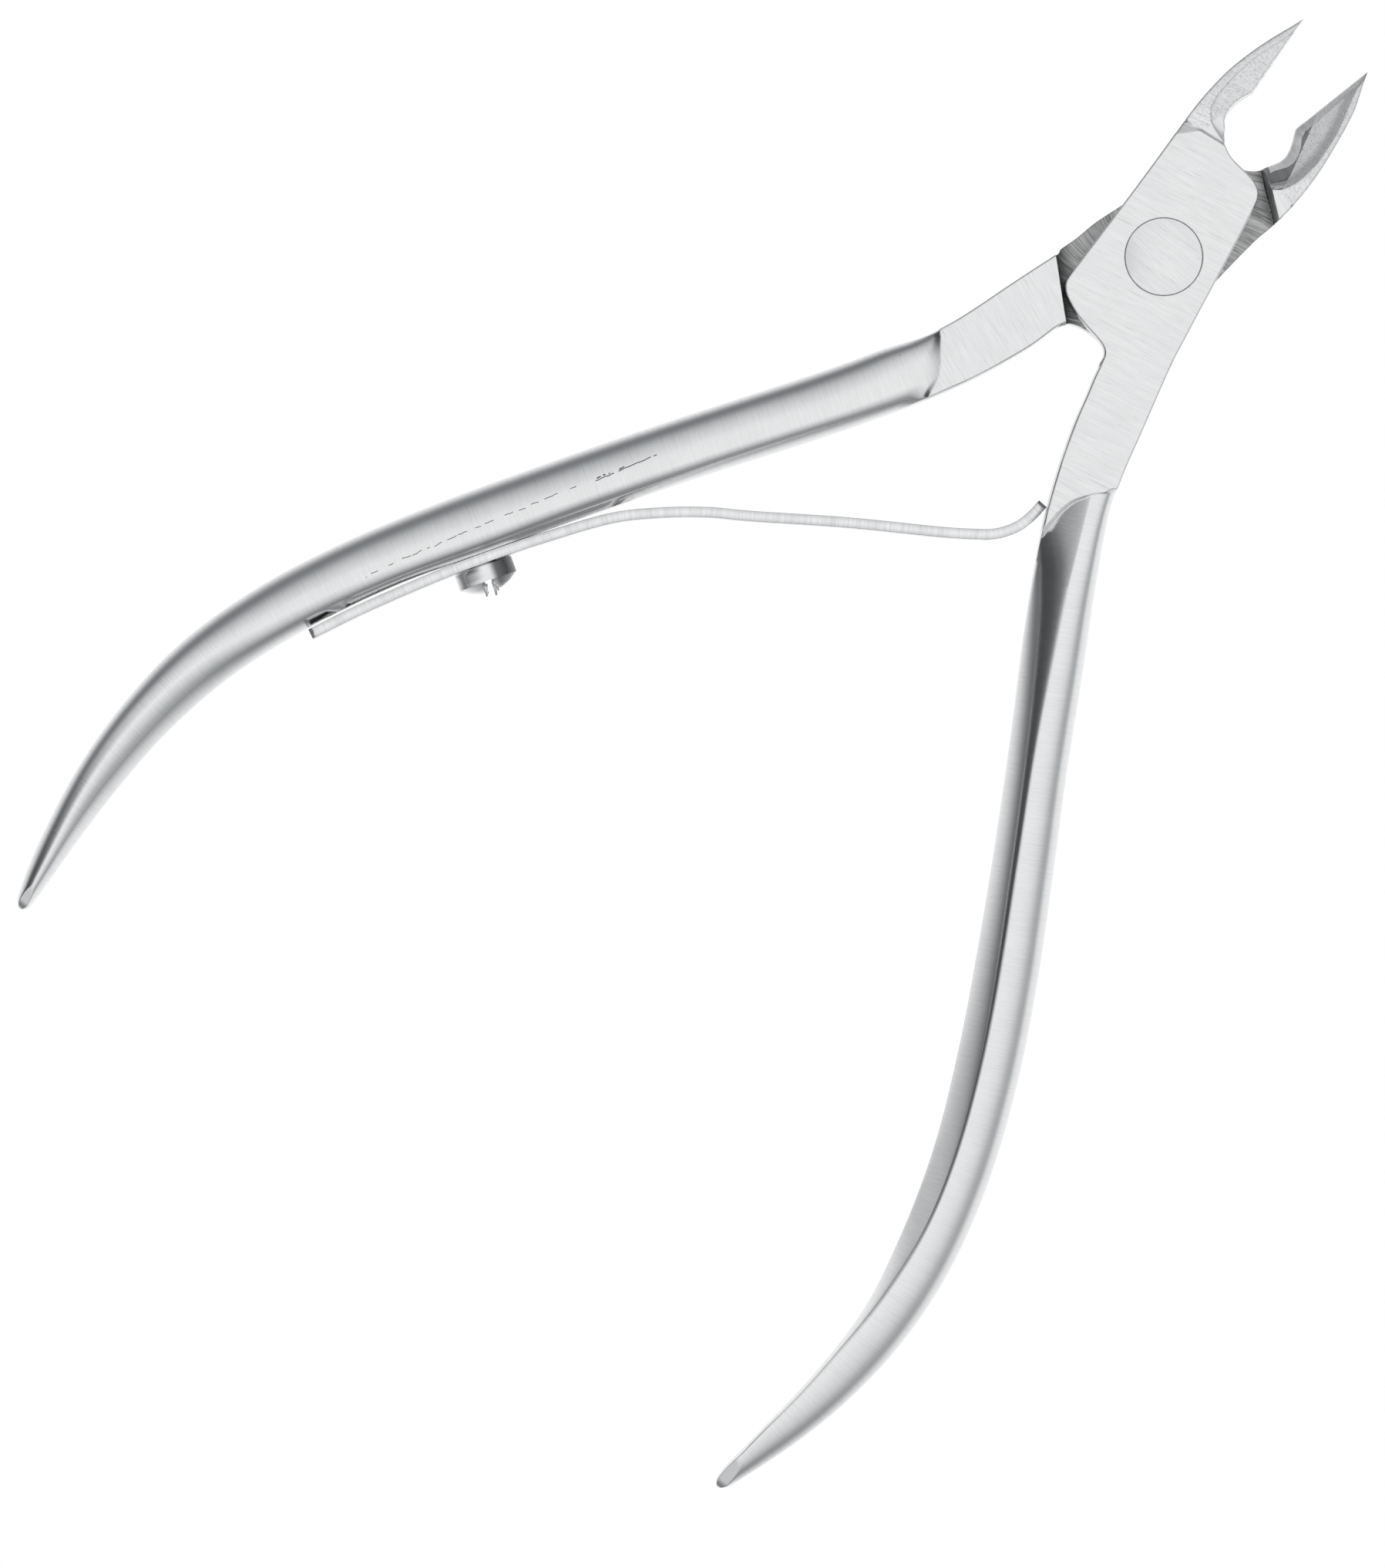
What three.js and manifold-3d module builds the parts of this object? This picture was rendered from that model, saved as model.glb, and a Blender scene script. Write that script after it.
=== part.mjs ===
// Cuticle nipper: two crossed halves on a flush rivet, one leaf spring and its screw.
// Millimetres. It lies flat: z = 0 is the face it rests on, the origin is on the rivet's
// axis, +Y runs to the jaw tips, +Z is up. It is built as it rests, held open by the spring.
import * as THREE from 'three';
import Module from 'manifold-3d';

const wasm = await Module();
wasm.setup();

// ---- driving dimensions ------------------------------------------------------------
const THICK = 6.4;          // the joint and the necks, lower face to upper face
const LAP = THICK / 2;      // height of the plane the halves slide on; also mid-height
const LAP_GAP = 0.02;       // running gap on each side of that plane

// The rivet is countersunk flush on both faces.
const RIVET = { head: 2.5, shank: 2.1, rim: 0.15, cone: 0.85, clearance: 0.03, sides: 48 };

// Each lap ends at two straight shoulders: how far off the axis, and where they face.
// Angles are measured at the axis, from -Y for the arm and from +Y for the jaw, to +X.
const ARM_SHOULDER = 6.86;
const JAW_SHOULDER = 7.58;

// Leaf spring: thin in the plane of the nipper, wide across it.
const LEAF = { thick: 0.66, seatWidth: 5.0, armWidth: 3.7, tipWidth: 3.0, split: 0.3 };

// Screw through the spring's seat into the left handle.
const SCREW = {
  seat: [-22.25, -43.0], lift: 0.73, head: 1.95, headHeight: 1.2, dome: 0.35,
  shank: 1.0, depth: 2.8, clearance: 0.04, slot: 0.45, slotDepth: 0.6, sides: 32,
};

// Half whose lap is on top; it carries the right handle and the left jaw.
const FRONT = {
  lapOnTop: true,
  armFacing: 35.3,
  jawFacing: -37.4,
  // Joint outline, anticlockwise, from the jaw's outer edge to the neck's inner edge.
  jawSideToNeck: [
    [-4.55, 8.0], [-4.5, 6.9], [-4.3, 3.5], [-4.15, 0], [-3.97, -4.9], [-3.85, -5.4], [-3.5, -5.8],
    [-3.0, -6.08], [-2.05, -6.42], [-1, -6.65], [0, -6.78], [0.7, -7.05], [1.1, -7.4], [1.25, -8],
  ],
  // The same outline, from the neck's outer edge up to the throat.
  neckToThroat: [
    [4.8, -5], [4.45, -3.3], [4.0, -1.2], [3.78, 0], [3.6, 1], [3.2, 3], [2.9, 4.5], [2.38, 6.6],
    [2.05, 7.2], [1.4, 7.48], [0.7, 7.63], [0, 7.68], [-0.5, 7.74], [-1.1, 7.88], [-1.25, 8.0],
  ],
  // Arm and handle: y, x of the inner edge, x of the outer edge, half the height.
  arm: [
    [-8, 1.25, 5.62, 3.2], [-10, 1.8, 6.18, 3.2], [-12, 2.36, 6.72, 3.2], [-13.2, 2.75, 7.06, 3.2],
    [-14.5, 3.24, 7.54, 3.2], [-16, 3.86, 8.28, 3.17], [-18, 4.76, 9.4, 3.1], [-20, 5.78, 10.54, 3.05],
    [-24, 8.08, 12.92, 2.98], [-30, 11.8, 16.42, 2.9], [-36, 15.42, 20.1, 2.85],
    [-42, 18.88, 23.68, 2.8], [-48, 22.14, 26.82, 2.74], [-54, 24.96, 29.3, 2.66],
    [-60, 26.98, 30.9, 2.55], [-65, 28.1, 31.4, 2.42], [-70, 28.3, 31.12, 2.25],
    [-74, 28.08, 30.36, 2.05], [-77, 27.8, 29.5, 1.85], [-79, 27.6, 28.84, 1.6], [-80.1, 27.75, 28.4, 1.3],
  ],
  // Jaw: y, inner x, half the thickness there, ridge x, half the thickness there,
  // outer x, half the thickness there. The inner edge is sharp from the notch on.
  jaw: [
    [8.0, -1.25, 3.2, -2.6, 3.2, -4.55, 3.2], [8.4, -1.72, 2.6, -2.55, 3.12, -4.56, 2.95],
    [8.9, -2.05, 2.0, -3.35, 3.0, -4.57, 2.75], [9.5, -2.55, 1.5, -3.8, 2.86, -4.57, 2.5],
    [10.3, -2.62, 1.2, -3.95, 2.68, -4.56, 2.25], [11.1, -2.5, 0.8, -3.97, 2.5, -4.5, 2.05],
    [11.93, -2.175, 0.04, -3.92, 2.3, -4.4, 1.85], [13, -2.27, 0.04, -3.8, 2.02, -4.2, 1.6],
    [14, -2.355, 0.04, -3.6, 1.76, -3.95, 1.36], [15, -2.44, 0.04, -3.32, 1.48, -3.68, 1.1],
    [16, -2.53, 0.04, -3.0, 1.18, -3.32, 0.85], [17, -2.617, 0.04, -2.8, 0.85, -3.0, 0.6],
    [17.95, -2.7, 0.04, -2.74, 0.5, -2.8, 0.36],
  ],
};

// Half whose lap is underneath; it carries the left handle, the right jaw and the spring.
const BACK = {
  lapOnTop: false,
  armFacing: -42.1,
  jawFacing: 37.4,
  jawSideToNeck: [
    [4.43, 8.0], [4.35, 7.0], [4.15, 5.9], [3.95, 4.5], [3.65, 1.0], [3.37, -5.3], [3.2, -5.8],
    [2.79, -6.15], [2.26, -6.38], [1.27, -6.62], [0.21, -6.7], [-0.81, -6.74], [-1.53, -6.9],
    [-2.1, -7.2], [-2.52, -8],
  ],
  neckToThroat: [
    [-6.05, -6], [-5.46, -4.1], [-5.15, -2.5], [-4.85, -1], [-4.35, 0.6], [-3.75, 2.4], [-3.0, 4.6],
    [-2.38, 6.6], [-2.05, 7.2], [-1.4, 7.48], [-0.7, 7.6], [0.1, 7.68], [0.6, 7.86], [0.88, 8.0],
  ],
  arm: [
    [-8, -2.52, -6.68, 3.2], [-10, -3.06, -7.28, 3.2], [-12, -3.8, -7.96, 3.2],
    [-13.2, -4.3, -8.44, 3.2], [-14.5, -4.9, -9.3, 3.2], [-16, -5.66, -10.3, 3.17],
    [-18, -6.72, -11.48, 3.1], [-20, -7.9, -12.7, 3.05], [-24, -10.4, -15.26, 2.98],
    [-30, -14.3, -19.1, 2.9], [-36, -18.02, -22.8, 2.85], [-42, -21.65, -26.36, 2.8],
    [-48, -25.2, -29.58, 2.74], [-54, -27.95, -32.12, 2.66], [-60, -29.9, -33.68, 2.55],
    [-65, -30.68, -34.02, 2.42], [-70, -30.84, -33.7, 2.25], [-74, -30.7, -32.94, 2.05],
    [-77, -30.5, -32.16, 1.85], [-79, -30.38, -31.5, 1.6], [-79.7, -30.5, -31.15, 1.4],
  ],
  jaw: [
    [8.0, 0.88, 3.2, 2.9, 3.2, 4.43, 3.2], [8.4, 1.3, 2.6, 3.3, 3.12, 4.44, 2.95],
    [8.9, 1.56, 2.0, 3.55, 3.0, 4.45, 2.75], [9.5, 1.87, 1.5, 3.76, 2.86, 4.44, 2.5],
    [10.3, 2.02, 1.2, 3.86, 2.68, 4.41, 2.25], [11.1, 1.8, 0.8, 3.86, 2.5, 4.34, 2.05],
    [12.05, 1.42, 0.04, 3.78, 2.28, 4.2, 1.84], [13, 1.623, 0.04, 3.65, 2.02, 4.05, 1.6],
    [14, 1.836, 0.04, 3.44, 1.76, 3.88, 1.36], [15, 2.05, 0.04, 3.14, 1.48, 3.68, 1.1],
    [16, 2.264, 0.04, 2.95, 1.18, 3.38, 0.85], [17, 2.477, 0.04, 2.8, 0.85, 3.02, 0.6],
    [17.95, 2.68, 0.04, 2.72, 0.5, 2.78, 0.36],
  ],
};

// Spring centre line, from the tail on the left handle to the tip at the right one.
const LEAF_SEAT = [[-27.42, -53.88], [-25.73, -50.2], [-23.12, -45.2], [-20.93, -41.5], [-19.8, -39.7]];
const LEAF_BEND = [-17.2, -35.9];
const LEAF_ARM = [
  [-15, -33.6], [-12.5, -31.5], [-10, -29.8], [-5, -26.25], [0, -22.95], [1.95, -21.55],
  [2.8, -20.85], [3.35, -20.15], [3.78, -19.3], [4.0, -18.3], [4.06, -17.3],
];

// ---- solids ------------------------------------------------------------------------
const solid = (points, triangles) => new wasm.Manifold(new wasm.Mesh({
  numProp: 3,
  vertProperties: new Float32Array(points.flat()),
  triVerts: new Uint32Array(triangles.flat()),
}));

// Closed body through a row of rings with equal point counts, anticlockwise seen from
// the last ring back to the first; each end is closed round its own middle.
function loft(rings) {
  const count = rings[0].length;
  const points = rings.flat();
  const triangles = [];
  for (let ring = 0; ring + 1 < rings.length; ring += 1) {
    for (let i = 0; i < count; i += 1) {
      const a = ring * count + i;
      const b = ring * count + (i + 1) % count;
      triangles.push([a, b, b + count], [a, b + count, a + count]);
    }
  }
  for (const end of [0, rings.length - 1]) {
    const middle = [0, 1, 2].map((axis) => rings[end].reduce((sum, p) => sum + p[axis], 0) / count);
    points.push(middle);
    for (let i = 0; i < count; i += 1) {
      const a = end * count + i;
      const b = end * count + (i + 1) % count;
      triangles.push(end === 0 ? [b, a, points.length - 1] : [a, b, points.length - 1]);
    }
  }
  return solid(points, triangles);
}

// Straight-sided body over an anticlockwise outline.
function slab(outline, low, high) {
  const flat = outline.map(([x, y]) => new THREE.Vector2(x, y));
  const faces = THREE.ShapeUtils.triangulateShape(flat, []);
  const count = outline.length;
  const points = [low, high].flatMap((z) => outline.map(([x, y]) => [x, y, z]));
  const triangles = faces.flatMap(([a, b, c]) => [[c, b, a], [a + count, b + count, c + count]]);
  for (let i = 0; i < count; i += 1) {
    const next = (i + 1) % count;
    triangles.push([i, next, next + count], [i, next + count, i + count]);
  }
  return solid(points, triangles);
}

// Body turned round +Z from [radius, z] rings, then laid along a direction if asked.
function turned(profile, sides, place = (p) => p) {
  return loft(profile.map(([radius, z]) => Array.from({ length: sides }, (_, i) => {
    const angle = (i / sides) * 2 * Math.PI;
    return place([radius * Math.cos(angle), radius * Math.sin(angle), z]);
  })));
}

// ---- the two halves ----------------------------------------------------------------
const ease = (from, to, value) => THREE.MathUtils.smoothstep((value - from) / (to - from), 0, 1);

// One section of an arm. The neck is a plain rectangle; from there it rounds into a
// handle that is full on the outside and nearly flat on the side facing the other one.
function armRing([y, inner, outer, halfHeight]) {
  const round = ease(-12.4, -18, y);
  const sides = 24;
  const ring = Array.from({ length: sides }, (_, i) => {
    const angle = (i / sides) * 2 * Math.PI;
    const across = Math.cos(angle);
    const up = Math.sin(angle);
    const reach = 1 / Math.max(Math.abs(across), Math.abs(up));
    const scale = THREE.MathUtils.lerp(reach, 1, round * (across > 0 ? 1 : 0.5));
    return [
      (inner + outer) / 2 + (across * scale * (outer - inner)) / 2,
      y,
      LAP + up * scale * halfHeight,
    ];
  });
  return outer > inner ? ring : ring.reverse();
}

// One section of a jaw: inner edge, hollow bevel up to the ridge, then down to the
// outer edge, and the same again underneath.
function jawRing([y, inner, innerHalf, ridge, ridgeHalf, outer, outerHalf]) {
  const hollow = 0.07 * (ridgeHalf - innerHalf);
  const upper = [
    [inner, innerHalf],
    [inner + (ridge - inner) * 0.4, innerHalf + (ridgeHalf - innerHalf) * 0.4 - hollow],
    [inner + (ridge - inner) * 0.75, innerHalf + (ridgeHalf - innerHalf) * 0.75 - hollow],
    [ridge, ridgeHalf],
    [ridge + (outer - ridge) * 0.6, ridgeHalf + (outerHalf - ridgeHalf) * 0.45],
    [outer, outerHalf],
  ];
  const lower = upper.toReversed().map(([x, half]) => [x, -half]);
  const ring = [...upper, ...lower].map(([x, half]) => [x, y, LAP + half]);
  return outer > inner ? ring.reverse() : ring;
}

// Corner points of the space the other half's lap turns in, between the two shoulders.
function lapSpace({ armFacing, jawFacing }) {
  const reach = 20;
  const shoulder = (degrees, distance, sign) => {
    const angle = THREE.MathUtils.degToRad(degrees);
    const facing = [Math.sin(angle), sign * Math.cos(angle)];
    return [-reach, reach].map((along) => [
      distance * facing[0] - along * facing[1], distance * facing[1] + along * facing[0],
    ]);
  };
  return [...shoulder(armFacing, ARM_SHOULDER, -1), ...shoulder(jawFacing, JAW_SHOULDER, 1)];
}

const rivetProfile = (extra) => [
  [RIVET.head + extra, -extra], [RIVET.head + extra, RIVET.rim], [RIVET.shank + extra, RIVET.cone],
  [RIVET.shank + extra, THICK - RIVET.cone], [RIVET.head + extra, THICK - RIVET.rim],
  [RIVET.head + extra, THICK + extra],
];

function half(shape) {
  const { jawSideToNeck, neckToThroat, arm, jaw, lapOnTop } = shape;
  const neck = arm.slice(0, 3);
  const outline = [
    ...jawSideToNeck,
    ...neck.slice(1).map(([y, inner]) => [inner, y]),
    ...neck.toReversed().map(([y, , outer]) => [outer, y]),
    ...neckToThroat,
  ];
  const joint = slab(lapOnTop ? outline : outline.toReversed(), 0, THICK);
  const space = lapOnTop
    ? slab(lapSpace(shape), -1, LAP + LAP_GAP)
    : slab(lapSpace(shape), LAP - LAP_GAP, THICK + 1);
  return joint.add(loft(jaw.toReversed().map(jawRing)))
    .subtract(space)
    .add(loft(arm.map(armRing)))
    .subtract(turned(rivetProfile(RIVET.clearance), RIVET.sides));
}

// ---- spring and screw --------------------------------------------------------------
// Leaf body over part of the centre line; width is given at each step from 0 to 1.
function leaf(centreLine, steps, widthAt) {
  const curve = new THREE.CatmullRomCurve3(centreLine.map(([x, y]) => new THREE.Vector3(x, y, 0)));
  const rings = Array.from({ length: steps + 1 }, (_, i) => {
    const point = curve.getPointAt(i / steps);
    const along = curve.getTangentAt(i / steps);
    const width = widthAt(i / steps) / 2;
    const corners = [[-1, -1], [1, -1], [1, 1], [-1, 1]];
    return corners.map(([side, up]) => [
      point.x + (side * along.y * LEAF.thick) / 2, point.y - (side * along.x * LEAF.thick) / 2,
      LAP + up * width,
    ]);
  });
  return loft(rings.reverse());
}

// Places a body turned round +Z on the screw's axis, z = 0 on the handle's inner face.
function onScrewAxis([x, y, z]) {
  const [ax, ay] = SCREW_AXIS;
  return [SCREW.seat[0] + z * ax - x * ay, SCREW.seat[1] + z * ay + x * ax, LAP + y];
}

// The screw stands square to the straight run of the spring's seat.
const seatRun = new THREE.Vector2(...LEAF_SEAT[3]).sub(new THREE.Vector2(...LEAF_SEAT[2])).normalize();
const SCREW_AXIS = [seatRun.y, -seatRun.x];
const shankHole = (clearance, low, high) => turned(
  [[SCREW.shank + clearance, low], [SCREW.shank + clearance, high]], SCREW.sides, onScrewAxis,
);

function screw() {
  const top = SCREW.lift + SCREW.headHeight + SCREW.dome;
  const body = turned([
    [SCREW.shank, -SCREW.depth], [SCREW.shank, SCREW.lift], [SCREW.head, SCREW.lift],
    [SCREW.head, SCREW.lift + SCREW.headHeight], [SCREW.head - 0.55, top],
  ], SCREW.sides, onScrewAxis);
  const half = SCREW.slot / 2;
  const corners = [[-half, -3], [half, -3], [half, 3], [-half, 3]];
  const slot = loft([top - SCREW.slotDepth, top + 1]
    .map((z) => corners.map(([x, y]) => onScrewAxis([x, y, z]))));
  return body.subtract(slot);
}

// ---- assembly ----------------------------------------------------------------------
const STEEL = { color: 0xc9cacc, roughness: 0.32, metalness: 0.95 };
const BRIGHT = { color: 0xdddddb, roughness: 0.2, metalness: 0.95 };

function part(name, body, look) {
  const { vertProperties, triVerts, numProp } = body.getMesh();
  const geometry = new THREE.BufferGeometry();
  const positions = Array.from({ length: vertProperties.length / numProp },
    (_, i) => [...vertProperties.slice(i * numProp, i * numProp + 3)]).flat();
  geometry.setAttribute('position', new THREE.Float32BufferAttribute(positions, 3));
  geometry.setIndex([...triVerts]);
  const mesh = new THREE.Mesh(geometry.toNonIndexed(), new THREE.MeshStandardMaterial(look));
  mesh.geometry.computeVertexNormals();
  mesh.name = name;
  return mesh;
}

const seatWidth = (t) => THREE.MathUtils.lerp(LEAF.seatWidth, LEAF.armWidth, ease(0.6, 0.68, t));
const armWidth = (t) => THREE.MathUtils.lerp(LEAF.armWidth, LEAF.tipWidth, t);

// The two leaf pieces stop short of each other by the split, where the spring bends.
const bend = new THREE.Vector2(...LEAF_BEND);
const bendRun = new THREE.Vector2(...LEAF_ARM[0]).sub(new THREE.Vector2(...LEAF_SEAT.at(-1))).normalize();
const rootEnd = bend.clone().addScaledVector(bendRun, -LEAF.split / 2).toArray();
const armStart = bend.clone().addScaledVector(bendRun, LEAF.split / 2).toArray();

const nipper = new THREE.Group();
nipper.name = 'cuticle_nipper';
nipper.add(
  part('front_half', half(FRONT), STEEL),
  part('back_half', half(BACK).subtract(shankHole(SCREW.clearance, -SCREW.depth - 0.1, 1)), STEEL),
  part('pivot_rivet', turned(rivetProfile(0), RIVET.sides), STEEL),
  part('spring_root',
    leaf([...LEAF_SEAT, rootEnd], 26, seatWidth).subtract(shankHole(0.1, -0.3, 2)), BRIGHT),
  part('spring_arm', leaf([armStart, ...LEAF_ARM], 34, armWidth), BRIGHT),
  part('spring_screw', screw(), BRIGHT),
);

export default nipper;
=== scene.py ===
"""Cuticle nipper: the visual model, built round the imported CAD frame.

Shapes are written in millimetres in the row frame and scaled to metres as meshes are
made: the origin is on the rivet's axis, +Y runs to the jaw tips and z = 0 is the face
that the nipper rests on.
"""
import math
import bmesh
import bpy
import numpy as np
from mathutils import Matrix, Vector


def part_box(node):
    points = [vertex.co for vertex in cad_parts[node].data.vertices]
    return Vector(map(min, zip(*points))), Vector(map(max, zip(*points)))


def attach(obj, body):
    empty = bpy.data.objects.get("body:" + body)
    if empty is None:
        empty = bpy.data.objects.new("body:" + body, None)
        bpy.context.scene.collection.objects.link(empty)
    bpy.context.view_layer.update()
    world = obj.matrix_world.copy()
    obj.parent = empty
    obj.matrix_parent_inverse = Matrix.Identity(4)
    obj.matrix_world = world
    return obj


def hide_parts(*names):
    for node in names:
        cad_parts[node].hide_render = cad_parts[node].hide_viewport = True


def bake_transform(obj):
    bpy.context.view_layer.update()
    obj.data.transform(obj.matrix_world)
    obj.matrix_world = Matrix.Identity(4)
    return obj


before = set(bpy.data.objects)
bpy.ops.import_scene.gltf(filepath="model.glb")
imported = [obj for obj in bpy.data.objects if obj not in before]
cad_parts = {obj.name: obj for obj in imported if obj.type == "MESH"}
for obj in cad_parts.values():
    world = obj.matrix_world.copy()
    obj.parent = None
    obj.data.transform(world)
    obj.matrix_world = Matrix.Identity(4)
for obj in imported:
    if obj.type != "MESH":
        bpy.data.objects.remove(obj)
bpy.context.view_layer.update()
MM = 0.001

# ---- what the frame fixes ------------------------------------------------------------
RIVET_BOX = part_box("pivot_rivet")
THICK = (RIVET_BOX[1].z - RIVET_BOX[0].z) / MM
MID = THICK / 2
RIVET_RADIUS = (RIVET_BOX[1].x - RIVET_BOX[0].x) / MM / 2
SEAT_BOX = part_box("spring_root")
SEAT_WIDTH = (SEAT_BOX[1].z - SEAT_BOX[0].z) / MM
ARM_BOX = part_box("spring_arm")
ARM_WIDTH = (ARM_BOX[1].z - ARM_BOX[0].z) / MM

# ---- grid and finish of the ground joint, necks and jaws ------------------------------
CELL = 0.06              # grid step across the plan
CELL_UP = 0.08           # grid step in height
EDGE = 0.14              # how far a ground edge is eased
CREASE = 0.05            # the same for the meeting line of two ground faces
RIDGE = 0.12             # and for the ridge where a jaw's grinding meets its bevel
LAP_GAP = 0.02           # running gap on each side of the sliding plane
HOLE_GAP = 0.012         # gap round the rivet
ARM_SHOULDER = 6.86      # how far the shoulders are off the rivet's axis
JAW_SHOULDER = 7.58
NECK_TO = -11.5          # y below which the neck can pass into the handle
NECK_FALL = 0.025        # slope of the flat neck, which thins a little away from the joint
HANDLE_FROM = -20.4      # y where the handle's own mesh takes over from the grid
JAW_STEP = 0.18          # run of the low step where the jaw's grinding starts
JAW_FROM = 7.5           # y where the tables of jaw grinding start
BLUNT_TO = 12.0          # y where the cutting edge starts, and the throat's blunt wall ends
BLUNT_RUN = 4.2          # length of that wall
EDGE_LEFT = 0.03         # half thickness left at the cutting edge
GRIND_SCALE = 1.05       # height over true distance on the outer grind
BEVEL_SCALE = 1.6        # and on the bevels
CORNER_AT = (-4.35, 6.71)     # the front half's slab falls away past this point
CORNER_WAY = (-0.726, 0.688)  # in this direction
CORNER_FALL = 0.5             # by this much in a millimetre
RIVET_WAIST = 2.1        # radius of the rivet between its countersunk ends
SINK_FROM, SINK_RUN = 0.85, 0.7    # depth where the countersink starts, and its length
THIN_BELOW = 7.3         # y below which the flat faces are thinned out
THIN_TO = 0.35           # share of the faces that is left
RING_SIDES = 80          # points round a handle
END_RUN = 0.55           # length over which a handle closes to its end
SEAT_FLAT = 2.1          # half height of the flat that the leaf spring lies on
SEAT_FROM, SEAT_TO = -33.4, -52.4    # y where that flat starts and stops
SEAT_IN, SEAT_OUT = 1.5, 0.6         # lengths over which it does so

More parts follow.
